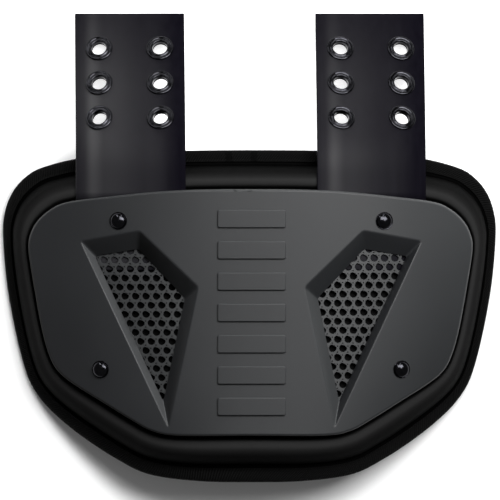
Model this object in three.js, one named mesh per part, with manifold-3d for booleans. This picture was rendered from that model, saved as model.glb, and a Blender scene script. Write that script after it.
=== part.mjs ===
// Football back plate: a moulded foam pad with a bound edge, a hard shell with two vented
// windows, and two straps with eyelets, held together by four rivets.
// Millimetres. It lies on its back on z = 0, front up (+Z), straps towards +Y, and it is
// the same left and right of x = 0. The origin is under the middle of its box.

import * as THREE from 'three';
import { mergeVertices } from 'three/addons/utils/BufferGeometryUtils.js';
import Module from 'manifold-3d';

const wasm = await Module();
wasm.setup();

// Pad
const padWidth = 305.6;
const padHeight = 205.3;
const seatThickness = 16;
const crestThickness = 21.3;
const flangeThickness = 2.9;

// Arch of the whole plate round the wearer's back
const archRise = 40;
const archPower = 2.2;
const archTaper = 0.434;
const widestLine = 42;

// Binding folded round the pad's edge
const bindingThickness = 1.2;

// Shell
const shellWidth = 274.8;
const shellHeight = 152.1;
const shellInset = 24.3;
const shellSkin = 2.6;
const shellEdgeRound = 1.4;
const roundMiddle = 0.3;

// Vents: the window's depth, and the pierced sheet at its bottom
const ventDepth = 8;
const ventLip = 0.8;
const ventWall = 2.2;
const sheetThickness = 1;
const holePitch = 6.4;
const holeAcross = 4.3;
const holeEdge = 2.1;

// Plain raised bars down the middle of the shell
const barCount = 7;
const barWidth = 42;
const barHeight = 11;
const barPitch = 19.3;
const barRise = 1.6;
const barColumnDrop = 76.2;

// Straps
const strapWidth = 67.6;
const strapSpacing = 148.8;
const strapThickness = 2;
const strapReach = 84.9;
const strapTuck = 50;
const strapFloorGap = 0.6;
const strapBendRun = 34;
const strapEndTilt = 0.12;
const strapClimbStart = 0.6;
const strapClimbEnd = 0.08;

// Eyelets
const eyeletRows = 3;
const eyeletPitch = 24.8;
const eyeletSpacing = 37.5;
const eyeletEndInset = 26.3;
const eyeletBore = 9;
const eyeletFlange = 16.9;
const eyeletBarrelWall = 0.7;
const eyeletCurl = 1.1;
const eyeletCrown = 0.75;
const eyeletWasher = 0.7;

// Rivets
const rivetHead = 11;
const rivetHeadRise = 3.2;
const rivetShank = 4.6;
const rivetTail = 11;
const rivetTailThickness = 1.2;
const rivetTailDepth = 0.5;
const bossWall = 2;

// Running clearance between pieces that touch, and reach of a cutter past what it cuts
const gap = 0.3;
const overcut = 2;

// Facets
const stations = 44;
const roundSides = 8;
const eyeletSides = 8;
const strapColumns = 5;
const strapClimbSteps = 3;
const strapBendSteps = 5;
const strapRunSteps = 6;
const weld = 1e-4;

// Levels over the arched back face
const strapLevel = seatThickness + gap;
const sheetLevel = strapLevel + strapThickness + 2 * gap;
const ventFloorLevel = sheetLevel + sheetThickness + gap;
const faceLevel = ventFloorLevel + ventDepth;

// Places
const overallLength = padHeight + strapReach;
const padTop = padHeight - overallLength / 2;
const strapEnd = overallLength / 2;
const shellTop = padTop - shellInset;
const widestY = padTop - widestLine;
const padMiddle = new THREE.Vector2(0, shellTop - shellHeight / 2);
const strapX = strapSpacing / 2;

// Half of each outline, from the middle of the top edge round to the middle of the bottom
// edge: across as a share of half the width, down as a share of the height.
const outlineRows = [
  { padAcross: 0, padDown: 0, shellAcross: 0, shellDown: 0 },
  { padAcross: 0.36, padDown: 0.004, shellAcross: 0.364, shellDown: 0.006 },
  { padAcross: 0.654, padDown: 0.02, shellAcross: 0.655, shellDown: 0.031 },
  { padAcross: 0.834, padDown: 0.05, shellAcross: 0.83, shellDown: 0.053 },
  { padAcross: 0.91, padDown: 0.081, shellAcross: 0.906, shellDown: 0.085 },
  { padAcross: 0.963, padDown: 0.128, shellAcross: 0.961, shellDown: 0.131 },
  { padAcross: 0.992, padDown: 0.186, shellAcross: 0.991, shellDown: 0.183 },
  { padAcross: 1, padDown: 0.253, shellAcross: 1, shellDown: 0.24 },
  { padAcross: 0.984, padDown: 0.4, shellAcross: 0.982, shellDown: 0.355 },
  { padAcross: 0.949, padDown: 0.546, shellAcross: 0.943, shellDown: 0.552 },
  { padAcross: 0.911, padDown: 0.658, shellAcross: 0.91, shellDown: 0.664 },
  { padAcross: 0.875, padDown: 0.721, shellAcross: 0.872, shellDown: 0.733 },
  { padAcross: 0.808, padDown: 0.784, shellAcross: 0.804, shellDown: 0.787 },
  { padAcross: 0.694, padDown: 0.856, shellAcross: 0.677, shellDown: 0.859 },
  { padAcross: 0.546, padDown: 0.929, shellAcross: 0.539, shellDown: 0.936 },
  { padAcross: 0.41, padDown: 0.977, shellAcross: 0.448, shellDown: 0.98 },
  { padAcross: 0.21, padDown: 0.997, shellAcross: 0.33, shellDown: 1 },
  { padAcross: 0, padDown: 1, shellAcross: 0, shellDown: 1 },
];

// The pad's section from its flange to the shell's edge: share of that margin, and the
// foam's thickness as a share of the way from the flange (0) to the crest (1).
const padSection = [
  { margin: 0.33, rise: 0 },
  { margin: 0.41, rise: 0.08 },
  { margin: 0.51, rise: 0.46 },
  { margin: 0.61, rise: 0.86 },
  { margin: 0.72, rise: 1 },
  { margin: 0.83, rise: 0.96 },
];
const crestMargin = 0.72;
const bindingMargin = 0.3;
const foldMargin = 0.06;
const foamEdgeMargin = 0.08;
const shoulderMargin = 0.9;
const seatMargin = 0.97;
const backMargin = 0.4;
const flangeMargin = 0.33;
const innerMargins = [1.25, 1.5, 1.75];

// Corners of the right vent, at the shell's face and at the pierced sheet: across from the
// middle as a share of half the shell's width, down from its top as a share of its height.
const ventCorners = [
  { rimAcross: 0.767, rimDown: 0.21, floorAcross: 0.702, floorDown: 0.271, sideSteps: 3 },
  { rimAcross: 0.503, rimDown: 0.168, floorAcross: 0.508, floorDown: 0.242, sideSteps: 3 },
  { rimAcross: 0.24, rimDown: 0.396, floorAcross: 0.298, floorDown: 0.442, sideSteps: 2 },
  { rimAcross: 0.373, rimDown: 0.968, floorAcross: 0.395, floorDown: 0.862, sideSteps: 4 },
];
const ventCornerRound = 2.5;
const ventTubRim = 0.8;
const holeRowStart = 0.9;

// Rivets of the right half: the upper ones also pass through the straps.
const rivetPlaces = [
  { name: 'upper', across: 0.597, down: 0.128 },
  { name: 'lower', across: 0.676, down: 0.731 },
];

const sides = [
  { name: 'left', sign: -1 },
  { name: 'right', sign: 1 },
];

const foam = new THREE.MeshStandardMaterial({ color: '#161617', roughness: 0.85, metalness: 0 });
const tape = new THREE.MeshStandardMaterial({ color: '#101011', roughness: 0.95, metalness: 0 });
const hardShell = new THREE.MeshStandardMaterial({ color: '#3b3d3f', roughness: 0.55, metalness: 0 });
const sheet = new THREE.MeshStandardMaterial({ color: '#303234', roughness: 0.6, metalness: 0 });
const strapping = new THREE.MeshStandardMaterial({ color: '#2e2d33', roughness: 0.45, metalness: 0 });
const blackNickel = new THREE.MeshStandardMaterial({ color: '#4a4a4d', roughness: 0.22, metalness: 1 });

// Height of the arched back face over the floor: its side edges lie along the floor.
function reachAt(y) {
  const below = Math.max(0, widestY - y) / padHeight;
  return (padWidth / 2) * (1 - archTaper * below * below);
}

function arch(x, y) {
  const share = Math.min(1, Math.abs(x) / reachAt(y));
  return archRise * (1 - share ** archPower);
}

function lift(spot, level) {
  return new THREE.Vector3(spot.x, spot.y, arch(spot.x, spot.y) + level);
}

function slopesOf(height, x, y) {
  const step = 0.5;
  return {
    x: (height(x + step, y) - height(x - step, y)) / (2 * step),
    y: (height(x, y + step) - height(x, y - step)) / (2 * step),
  };
}

// A frame on a surface: local Z along its normal, origin at the level given over it.
function frameOn(height, spot, level) {
  const slope = slopesOf(height, spot.x, spot.y);
  const normal = new THREE.Vector3(-slope.x, -slope.y, 1).normalize();
  const turn = new THREE.Quaternion().setFromUnitVectors(new THREE.Vector3(0, 0, 1), normal);
  const origin = new THREE.Vector3(spot.x, spot.y, height(spot.x, spot.y) + level);
  return new THREE.Matrix4().compose(origin, turn, new THREE.Vector3(1, 1, 1));
}

// How far along a frame's Z a level over the arch is met, below the frame's origin.
function heightOfLevel(matrix, level) {
  let height = 0;
  for (let pass = 0; pass < 8; pass += 1) {
    const point = new THREE.Vector3(0, 0, height).applyMatrix4(matrix);
    height -= point.z - arch(point.x, point.y) - level;
  }
  return height;
}

// Closed smooth outline through the rows, its points matched between pad and shell.
function wholeOutline(across, down, halfWidth, height, top) {
  const half = outlineRows.map((row) => (
    new THREE.Vector3(row[across] * halfWidth, top - row[down] * height, 0)
  ));
  const mirrored = half.slice(1, -1).map((p) => new THREE.Vector3(-p.x, p.y, 0)).reverse();
  return new THREE.CatmullRomCurve3([...half, ...mirrored], true, 'catmullrom', 0.5);
}

const padCurve = wholeOutline('padAcross', 'padDown', padWidth / 2, padHeight, padTop);
const shellCurve = wholeOutline('shellAcross', 'shellDown', shellWidth / 2, shellHeight, shellTop);

// The curves run clockwise seen from the front, and the skins below want the other way.
const stationShares = Array.from({ length: stations }, (_, i) => (
  padCurve.getUtoTmapping((stations - i) / stations % 1)
));
const flat = (point) => new THREE.Vector2(point.x, point.y);
const padOutline = stationShares.map((t) => flat(padCurve.getPoint(t)));
const shellOutline = stationShares.map((t) => flat(shellCurve.getPoint(t)));

// Outline between the pad's edge (0), the shell's edge (1) and the middle (2).
function outlineAt(margin) {
  return padOutline.map((edge, i) => (
    margin <= 1
      ? edge.clone().lerp(shellOutline[i], margin)
      : shellOutline[i].clone().lerp(padMiddle, margin - 1)
  ));
}

function ringAt(margin, level) {
  return outlineAt(margin).map((spot) => lift(spot, level));
}

// Outline moved inwards by a distance, or outwards by a negative one.
function inset(outline, distance) {
  return outline.map((spot, i) => {
    const before = outline[(i + outline.length - 1) % outline.length];
    const after = outline[(i + 1) % outline.length];
    const into = spot.clone().sub(before).normalize();
    const out = after.clone().sub(spot).normalize();
    const normal = new THREE.Vector2(-into.y - out.y, into.x + out.x).normalize();
    const turn = Math.max(0.5, normal.dot(new THREE.Vector2(-into.y, into.x)));
    return spot.clone().addScaledVector(normal, distance / turn);
  });
}

// Corners given counterclockwise become an outline whose sides are divided.
function dividedOutline(corners, sideSteps) {
  return corners.flatMap((corner, i) => {
    const after = corners[(i + 1) % corners.length];
    return Array.from({ length: sideSteps[i] }, (_, step) => corner.clone().lerp(after, step / sideSteps[i]));
  });
}

// The same with round corners.
function roundedOutline(corners, radius, sideSteps) {
  const points = [];
  corners.forEach((corner, i) => {
    const before = corners[(i + corners.length - 1) % corners.length];
    const after = corners[(i + 1) % corners.length];
    const start = corner.clone().add(before.clone().sub(corner).setLength(radius));
    const end = corner.clone().add(after.clone().sub(corner).setLength(radius));
    const bend = new THREE.QuadraticBezierCurve(start, corner, end);
    points.push(...bend.getPoints(2));
    const nextStart = after.clone().add(corner.clone().sub(after).setLength(radius));
    for (let step = 1; step < sideSteps[i]; step += 1) {
      points.push(end.clone().lerp(nextStart, step / sideSteps[i]));
    }
  });
  return points;
}

// Closed skin over rings of points that run counterclockwise seen from above. The first and
// last rings are closed by a fan round a middle point, or joined to each other in a tube.
function skin(rings, middles) {
  const count = rings[0].length;
  const points = rings.flat();
  const index = [];
  const lastStrip = middles ? rings.length - 1 : rings.length;
  for (let r = 0; r < lastStrip; r += 1) {
    const above = (r + 1) % rings.length;
    for (let i = 0; i < count; i += 1) {
      const next = (i + 1) % count;
      index.push(r * count + i, r * count + next, above * count + next);
      index.push(r * count + i, above * count + next, above * count + i);
    }
  }
  if (middles) {
    const top = (rings.length - 1) * count;
    points.push(...middles);
    for (let i = 0; i < count; i += 1) {
      const next = (i + 1) % count;
      index.push(points.length - 2, next, i);
      index.push(points.length - 1, top + i, top + next);
    }
  }
  const geometry = new THREE.BufferGeometry();
  geometry.setAttribute('position', new THREE.Float32BufferAttribute(points.flatMap((p) => p.toArray()), 3));
  geometry.setIndex(index);
  return geometry;
}

function middleOf(outline, level) {
  const middle = new THREE.Vector2();
  outline.forEach((spot) => middle.add(spot));
  return lift(middle.divideScalar(outline.length), level);
}

function toManifold(geometry) {
  const bare = geometry.clone();
  Object.keys(bare.attributes)
    .filter((name) => name !== 'position')
    .forEach((name) => bare.deleteAttribute(name));
  const merged = mergeVertices(bare, weld);
  return new wasm.Manifold(new wasm.Mesh({
    numProp: 3,
    vertProperties: new Float32Array(merged.attributes.position.array),
    triVerts: new Uint32Array(merged.index.array),
  }));
}

function toGeometry(manifold) {
  const mesh = manifold.getMesh();
  const geometry = new THREE.BufferGeometry();
  geometry.setAttribute('position', new THREE.BufferAttribute(mesh.vertProperties, 3));
  geometry.setIndex(new THREE.BufferAttribute(mesh.triVerts, 1));
  return geometry;
}

// Round bar along a frame's Z, from one height to another.
function roundBar(radius, from, to, matrix) {
  const bar = new THREE.CylinderGeometry(radius, radius, to - from, roundSides);
  bar.rotateX(Math.PI / 2);
  bar.translate(0, 0, (from + to) / 2);
  bar.applyMatrix4(matrix);
  return toManifold(bar);
}

// Lathe about Z from a closed profile of { radius, height }, listed so that it runs down
// the outside and up the inside, or down the outside from axis to axis.
function lathe(profile, segments) {
  const points = profile.map(({ radius, height }) => new THREE.Vector2(radius, height));
  const turned = new THREE.LatheGeometry(points, segments);
  turned.rotateX(Math.PI / 2);
  return turned;
}

function shellSpot(across, down) {
  return new THREE.Vector2(across * shellWidth / 2, shellTop - down * shellHeight);
}

const rivets = sides.flatMap((side) => rivetPlaces.map((place) => {
  const spot = shellSpot(side.sign * place.across, place.down);
  const matrix = frameOn(arch, spot, faceLevel);
  return {
    name: `rivet_${place.name}_${side.name}`,
    matrix,
    back: heightOfLevel(matrix, 0),
    bossEnd: heightOfLevel(matrix, place.name === 'upper' ? sheetLevel : strapLevel),
  };
}));

function rivetHole(rivet) {
  return roundBar(rivetShank / 2 + gap, rivet.back - overcut, overcut + rivetHeadRise, rivet.matrix);
}

function drilled(body) {
  return rivets.reduce((left, rivet) => left.subtract(rivetHole(rivet)), body);
}

function foamPad() {
  const flangeBack = bindingThickness + gap;
  const flangeFront = flangeBack + flangeThickness;
  const crest = crestThickness - flangeFront;
  const front = [ringAt(foamEdgeMargin, flangeFront)];
  padSection.forEach((row) => front.push(ringAt(row.margin, flangeFront + row.rise * crest)));
  const rings = [
    ringAt(innerMargins[1], 0),
    ringAt(1, 0),
    ringAt(backMargin, 0),
    ringAt(flangeMargin, flangeBack),
    ringAt(foamEdgeMargin, flangeBack),
    ...front,
    ringAt(shoulderMargin, (seatThickness + crestThickness) / 2),
    ringAt(seatMargin, seatThickness),
    ...innerMargins.map((margin) => ringAt(margin, seatThickness)),
  ];
  const middles = [lift(padMiddle, 0), lift(padMiddle, seatThickness)];
  const dimple = (rivet) => roundBar(
    rivetTail / 2 + 2 * gap,
    rivet.back - overcut,
    rivet.back + rivetTailDepth + rivetTailThickness + gap,
    rivet.matrix,
  );
  const pad = drilled(toManifold(skin(rings, middles)));
  return toGeometry(rivets.reduce((left, rivet) => left.subtract(dimple(rivet)), pad));
}

function edgeBinding() {
  const top = 2 * bindingThickness + 2 * gap + flangeThickness;
  const inside = top - bindingThickness;
  return skin([
    ringAt(bindingMargin, 0),
    ringAt(foldMargin / 2, 0),
    ringAt(0, top / 2),
    ringAt(foldMargin / 2, top),
    ringAt(bindingMargin, top),
    ringAt(bindingMargin, inside),
    ringAt(foldMargin, inside),
    ringAt(foldMargin, bindingThickness),
    ringAt(bindingMargin, bindingThickness),
  ]);
}

// Window outline of one vent, from the pierced sheet (0) to the shell's face (1).
function ventOutline(side, share) {
  const corners = ventCorners.map((row) => (
    shellSpot(row.floorAcross, row.floorDown).lerp(shellSpot(row.rimAcross, row.rimDown), share)
  ));
  const steps = ventCorners.map((row) => row.sideSteps);
  const outline = roundedOutline(corners, ventCornerRound, steps);
  return side.sign > 0 ? outline : outline.map((spot) => new THREE.Vector2(-spot.x, spot.y)).reverse();
}

function prism(rings) {
  const first = rings[0];
  const last = rings[rings.length - 1];
  return toManifold(skin(
    rings.map(({ outline, level }) => outline.map((spot) => lift(spot, level))),
    [middleOf(first.outline, first.level), middleOf(last.outline, last.level)],
  ));
}

function ventCutter(side) {
  const over = 1 + overcut / ventDepth;
  return prism([
    { outline: ventOutline(side, 0), level: ventFloorLevel - overcut },
    { outline: ventOutline(side, 0), level: ventFloorLevel + ventLip },
    { outline: ventOutline(side, over), level: faceLevel + overcut },
  ]);
}

function ventTub(side) {
  const under = faceLevel - shellSkin / 2;
  return prism([
    { outline: inset(ventOutline(side, 0), -ventWall), level: ventFloorLevel },
    { outline: inset(ventOutline(side, 0), -ventWall), level: ventFloorLevel + ventLip },
    { outline: inset(ventOutline(side, ventTubRim), -ventWall), level: under },
  ]);
}

function shellBlock() {
  const rim = (distance, level) => inset(shellOutline, distance).map((spot) => lift(spot, level));
  const rings = [
    rim(2 * shellSkin, strapLevel),
    rim(0, strapLevel),
    rim(0, faceLevel - shellEdgeRound),
    rim(shellEdgeRound * roundMiddle, faceLevel - shellEdgeRound * roundMiddle),
    rim(shellEdgeRound, faceLevel),
    ...innerMargins.map((margin) => ringAt(margin, faceLevel)),
  ];
  return toManifold(skin(rings, [lift(padMiddle, strapLevel), lift(padMiddle, faceLevel)]));
}

function shellHollow() {
  const under = faceLevel - shellSkin;
  const wall = inset(shellOutline, shellSkin);
  const rings = [
    wall.map((spot) => lift(spot, strapLevel - overcut)),
    wall.map((spot) => lift(spot, under)),
    ...innerMargins.map((margin) => ringAt(margin, under)),
  ];
  return toManifold(skin(rings, [lift(padMiddle, strapLevel - overcut), lift(padMiddle, under)]));
}

// Bars stand across the middle of the shell, one under another.
function raisedBar(number) {
  const y = shellTop - barColumnDrop - (number - (barCount - 1) / 2) * barPitch;
  const x = barWidth / 2;
  const half = barHeight / 2;
  const corners = [[-x, y - half], [x, y - half], [x, y + half], [-x, y + half]]
    .map(([cornerX, cornerY]) => new THREE.Vector2(cornerX, cornerY));
  const outline = dividedOutline(corners, [2, 1, 2, 1]);
  return prism([
    { outline, level: faceLevel - shellSkin / 2 },
    { outline, level: faceLevel + barRise },
  ]);
}

// The strap passes under the shell's edge through a slot with a clearance all round.
function strapSlot(side) {
  const halfWidth = strapWidth / 2 + 2 * gap;
  const insideY = shellTop - strapTuck + strapWidth / 5;
  const row = (y, isForward) => Array.from({ length: strapColumns }, (_, i) => {
    const across = i / (strapColumns - 1);
    const share = isForward ? across : 1 - across;
    return new THREE.Vector2(side.sign * strapX - halfWidth + share * 2 * halfWidth, y);
  });
  const outline = [...row(insideY, true), ...row(padTop, false)];
  const slotTop = crestThickness + gap + strapThickness + 2 * gap;
  return prism([
    { outline, level: strapLevel - overcut },
    { outline, level: slotTop },
  ]);
}

function boss(rivet) {
  return roundBar(rivetShank / 2 + gap + bossWall, rivet.bossEnd, -shellSkin / 2, rivet.matrix);
}

function shell() {
  const block = shellBlock();
  let body = block.subtract(shellHollow());
  sides.forEach((side) => {
    body = body.subtract(strapSlot(side));
  });
  sides.forEach((side) => {
    body = body.add(ventTub(side).intersect(block));
  });
  rivets.forEach((rivet) => {
    body = body.add(boss(rivet));
  });
  for (let number = 0; number < barCount; number += 1) {
    body = body.add(raisedBar(number));
  }
  sides.forEach((side) => {
    body = body.subtract(ventCutter(side));
  });
  return toGeometry(drilled(body));
}

function isInside(spot, outline) {
  return outline.every((corner, i) => {
    const next = outline[(i + 1) % outline.length];
    return next.clone().sub(corner).cross(spot.clone().sub(corner)) > 0;
  });
}

// Six-sided holes on a close pattern, wherever a whole hole stands clear of the sheet's edge.
function sheetHoles(side) {
  const corners = ventCorners.map((row) => shellSpot(row.floorAcross, row.floorDown));
  const allowed = inset(corners, holeEdge);
  const rowPitch = holePitch * Math.sqrt(3) / 2;
  const start = corners[1];
  const radius = holeAcross / Math.sqrt(3);
  const holes = [];
  const columns = Math.ceil(shellWidth / 2 / holePitch);
  for (let row = 0; row < shellHeight / rowPitch; row += 1) {
    const shift = (row + 1) % 2 / 2;
    for (let column = -columns; column < columns; column += 1) {
      const centre = new THREE.Vector2(
        start.x + (column + shift) * holePitch,
        start.y - (row - 1 + holeRowStart) * rowPitch,
      );
      if (isInside(centre, allowed)) {
        const hole = new THREE.Path();
        for (let corner = 0; corner < 6; corner += 1) {
          const angle = (corner + 0.5) * Math.PI / 3;
          const x = side.sign * (centre.x + radius * Math.cos(angle));
          const y = centre.y + radius * Math.sin(angle);
          if (corner === 0) {
            hole.moveTo(x, y);
          } else {
            hole.lineTo(x, y);
          }
        }
        holes.push(hole);
      }
    }
  }
  return holes;
}

function ventSheet(side) {
  const shape = new THREE.Shape(inset(ventOutline(side, 0), -(ventWall - gap)));
  shape.holes = sheetHoles(side);
  const geometry = new THREE.ExtrudeGeometry(shape, { depth: sheetThickness, bevelEnabled: false });
  const position = geometry.attributes.position;
  for (let i = 0; i < position.count; i += 1) {
    const spot = new THREE.Vector2(position.getX(i), position.getY(i));
    position.setZ(i, position.getZ(i) + arch(spot.x, spot.y) + sheetLevel);
  }
  return geometry;
}

// Underside of a strap: it lies on the foam, climbs the crest, bends down with a slope that
// grows smoothly, and then runs straight to just over the floor, its free end tilted outwards.
const overCrest = crestThickness + gap;
const climbStart = shellTop - shellInset * strapClimbStart;
const climbEnd = shellTop - shellInset * strapClimbEnd;
const bendY = shellTop + shellInset * (1 - crestMargin);
const bendLength = strapEnd - bendY;

function strapUnderside(x, y) {
  const climb = THREE.MathUtils.smoothstep(y, climbStart, climbEnd);
  const onFoam = arch(x, y) + THREE.MathUtils.lerp(strapLevel, overCrest, climb);
  const endHeight = strapFloorGap + strapEndTilt * (strapX + strapWidth / 2 - Math.abs(x));
  const drop = arch(x, bendY) + overCrest - endHeight;
  const bent = THREE.MathUtils.clamp((y - bendY) / strapBendRun, 0, 1);
  const inBend = strapBendRun * (bent ** 3 - bent ** 4 / 2);
  const beyond = Math.max(0, y - bendY - strapBendRun);
  return onFoam - drop * (inBend + beyond) / (bendLength - strapBendRun / 2);
}

function strapTop(x, y) {
  const slope = slopesOf(strapUnderside, x, y);
  return strapUnderside(x, y) + strapThickness * Math.hypot(1, slope.x, slope.y);
}

// The strap's cross rows: close together where it climbs and bends.
function strapRows() {
  const tuckEnd = shellTop - strapTuck;
  const rows = [tuckEnd, (tuckEnd + climbStart) / 2];
  for (let step = 0; step <= strapClimbSteps; step += 1) {
    rows.push(THREE.MathUtils.lerp(climbStart, climbEnd, step / strapClimbSteps));
  }
  for (let step = 0; step <= strapBendSteps; step += 1) {
    rows.push(bendY + strapBendRun * step / strapBendSteps);
  }
  for (let step = 1; step <= strapRunSteps; step += 1) {
    rows.push(THREE.MathUtils.lerp(bendY + strapBendRun, strapEnd, step / strapRunSteps));
  }
  return rows;
}

function strapBlank(side) {
  const across = Array.from({ length: strapColumns + 1 }, (_, i) => (
    side.sign * strapX + strapWidth * (i / strapColumns - 0.5)
  ));
  const rings = strapRows().map((y) => [
    ...across.map((x) => new THREE.Vector3(x, y, strapUnderside(x, y))),
    ...across.slice().reverse().map((x) => new THREE.Vector3(x, y, strapTop(x, y))),
  ]);
  const middle = (y) => new THREE.Vector3(
    side.sign * strapX,
    y,
    (strapUnderside(side.sign * strapX, y) + strapTop(side.sign * strapX, y)) / 2,
  );
  return toManifold(skin(rings.reverse(), [middle(strapEnd), middle(shellTop - strapTuck)]));
}

// How far up the plate a point lies that is a distance down the strap from its free end.
function upStrap(distance) {
  const step = 0.1;
  let y = strapEnd;
  for (let run = 0; run < distance; y -= step) {
    run += step * Math.hypot(1, slopesOf(strapUnderside, strapX, y).y);
  }
  return y;
}

const eyelets = sides.flatMap((side) => {
  const list = [];
  for (let row = 0; row < eyeletRows; row += 1) {
    const y = upStrap(eyeletEndInset + row * eyeletPitch);
    sides.forEach((column) => {
      const x = side.sign * strapX + column.sign * eyeletSpacing / 2;
      const inOrOut = column.sign === side.sign ? 'outer' : 'inner';
      const matrix = frameOn(strapUnderside, new THREE.Vector2(x, y), 0);
      list.push({ side, name: `eyelet_${side.name}_${row + 1}_${inOrOut}`, matrix });
    });
  }
  return list;
});

// Corner radii of an eyelet's bore and barrel, whose flats lie on the true circles.
const eyeletFacet = 1 / Math.cos(Math.PI / eyeletSides);
const boreReach = eyeletBore / 2 * eyeletFacet;
const barrelReach = (eyeletBore / 2 + eyeletBarrelWall) * eyeletFacet;

function strap(side) {
  const holes = eyelets.filter((eyelet) => eyelet.side === side).map((eyelet) => (
    roundBar(
      (barrelReach + gap) / Math.cos(Math.PI / roundSides),
      -overcut,
      strapThickness + overcut,
      eyelet.matrix,
    )
  ));
  const body = holes.reduce((left, hole) => left.subtract(hole), strapBlank(side));
  return toGeometry(drilled(body));
}

// Rolled brass eyelet: a curled rim in front, a barrel through the strap, a flat washer behind.
function eyeletProfile() {
  const rim = eyeletFlange / 2;
  const crown = boreReach + (rim - boreReach) * eyeletCrown;
  const front = strapThickness + gap;
  const washerFace = -gap - eyeletWasher;
  return [
    { radius: boreReach, height: washerFace },
    { radius: rim, height: washerFace },
    { radius: barrelReach, height: -gap },
    { radius: barrelReach, height: front },
    { radius: rim, height: front },
    { radius: crown, height: front + eyeletCurl },
    { radius: boreReach, height: front },
    { radius: boreReach, height: washerFace },
  ];
}

function rivetProfile(rivet) {
  const head = rivetHead / 2;
  const tailFace = rivet.back + rivetTailDepth;
  return [
    { radius: 0, height: tailFace },
    { radius: rivetTail / 2, height: tailFace },
    { radius: rivetTail / 2, height: tailFace + rivetTailThickness },
    { radius: rivetShank / 2, height: tailFace + rivetTailThickness },
    { radius: rivetShank / 2, height: gap },
    { radius: head, height: gap },
    { radius: head * 0.82, height: gap + rivetHeadRise * 0.62 },
    { radius: head * 0.45, height: gap + rivetHeadRise * 0.93 },
    { radius: 0, height: gap + rivetHeadRise },
  ];
}

const backPlate = new THREE.Group();

function addPiece(name, geometry, material, matrix = new THREE.Matrix4()) {
  const mesh = new THREE.Mesh(geometry, material);
  mesh.name = name;
  matrix.decompose(mesh.position, mesh.quaternion, mesh.scale);
  backPlate.add(mesh);
}

addPiece('foam_pad', foamPad(), foam);
addPiece('edge_binding', edgeBinding(), tape);
addPiece('shell', shell(), hardShell);
sides.forEach((side) => {
  addPiece(`vent_sheet_${side.name}`, ventSheet(side), sheet);
  addPiece(`strap_${side.name}`, strap(side), strapping);
});
eyelets.forEach((eyelet) => {
  addPiece(eyelet.name, lathe(eyeletProfile(), eyeletSides), blackNickel, eyelet.matrix);
});
rivets.forEach((rivet) => {
  addPiece(rivet.name, lathe(rivetProfile(rivet), roundSides), blackNickel, rivet.matrix);
});

// It stands on the lowest point of its edge.
backPlate.position.z = -new THREE.Box3().setFromObject(backPlate, true).min.z;

export default backPlate;
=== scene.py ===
# %% [markdown]
# # Football back plate
# A football player hangs this plate from the shoulder pads to guard the lower back. A foam
# pad carries a hard shell with two sunk windows. Two straps with eyelets come out from under
# the shell, and four rivets hold the layers together. This lesson models it in Blender
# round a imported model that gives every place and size.

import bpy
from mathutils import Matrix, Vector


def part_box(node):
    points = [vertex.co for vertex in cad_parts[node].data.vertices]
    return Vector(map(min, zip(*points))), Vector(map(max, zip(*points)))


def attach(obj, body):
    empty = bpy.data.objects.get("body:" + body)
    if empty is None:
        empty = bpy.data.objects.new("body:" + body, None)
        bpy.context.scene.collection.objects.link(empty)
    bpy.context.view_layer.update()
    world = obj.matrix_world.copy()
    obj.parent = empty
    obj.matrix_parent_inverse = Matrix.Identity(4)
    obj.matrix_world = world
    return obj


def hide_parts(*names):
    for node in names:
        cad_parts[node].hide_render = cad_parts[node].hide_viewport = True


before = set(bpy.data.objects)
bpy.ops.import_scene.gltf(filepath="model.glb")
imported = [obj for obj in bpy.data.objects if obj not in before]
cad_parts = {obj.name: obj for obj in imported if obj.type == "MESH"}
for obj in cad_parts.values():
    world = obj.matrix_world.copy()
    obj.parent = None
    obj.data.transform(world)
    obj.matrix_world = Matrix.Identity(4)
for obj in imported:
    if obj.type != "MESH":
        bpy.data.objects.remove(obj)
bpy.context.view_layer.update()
print("packed pieces:", len(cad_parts))

# %% [markdown]
# ## Sizes
# Every size is a named value in metres. The words are those of the workshop: the pad is the
# foam, the flange is its thin pressed edge, the crest is the soft roll round the shell, and
# a level is a height over the arched back face of the plate.

# %% Name the sizes
import math

import bmesh
import bpy
from mathutils import Matrix, Vector

MM = 0.001
PAD_WIDTH, PAD_HEIGHT = 305.6 * MM, 205.3 * MM
SHELL_WIDTH, SHELL_HEIGHT, SHELL_INSET = 274.8 * MM, 152.1 * MM, 24.3 * MM
STRAP_REACH, STRAP_WIDTH, STRAP_SPACING = 84.9 * MM, 67.6 * MM, 148.8 * MM
ARCH_RISE, ARCH_POWER, ARCH_TAPER, WIDEST_LINE = 40 * MM, 2.2, 0.434, 42 * MM

OVERALL_LENGTH = PAD_HEIGHT + STRAP_REACH
PAD_TOP = PAD_HEIGHT - OVERALL_LENGTH / 2
STRAP_END = OVERALL_LENGTH / 2
SHELL_TOP = PAD_TOP - SHELL_INSET
WIDEST_Y = PAD_TOP - WIDEST_LINE
MIDDLE = Vector((0, SHELL_TOP - SHELL_HEIGHT / 2, 0))

GAP = 0.3 * MM
SEAT_LEVEL, CREST_LEVEL = 16 * MM, 21.3 * MM
FLANGE_BACK, FLANGE_FRONT = 1.5 * MM, 4.4 * MM
TAPE_THICKNESS = 1.2 * MM
STRAP_LEVEL = SEAT_LEVEL + GAP
STRAP_THICKNESS = 2 * MM
SHEET_LEVEL = STRAP_LEVEL + STRAP_THICKNESS + 2 * GAP
SHEET_THICKNESS = 1 * MM
WINDOW_FLOOR = SHEET_LEVEL + SHEET_THICKNESS + GAP
FACE_LEVEL = WINDOW_FLOOR + 8 * MM
print(f"the plate is {PAD_WIDTH / MM:.0f} by {OVERALL_LENGTH / MM:.0f} mm")

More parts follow.
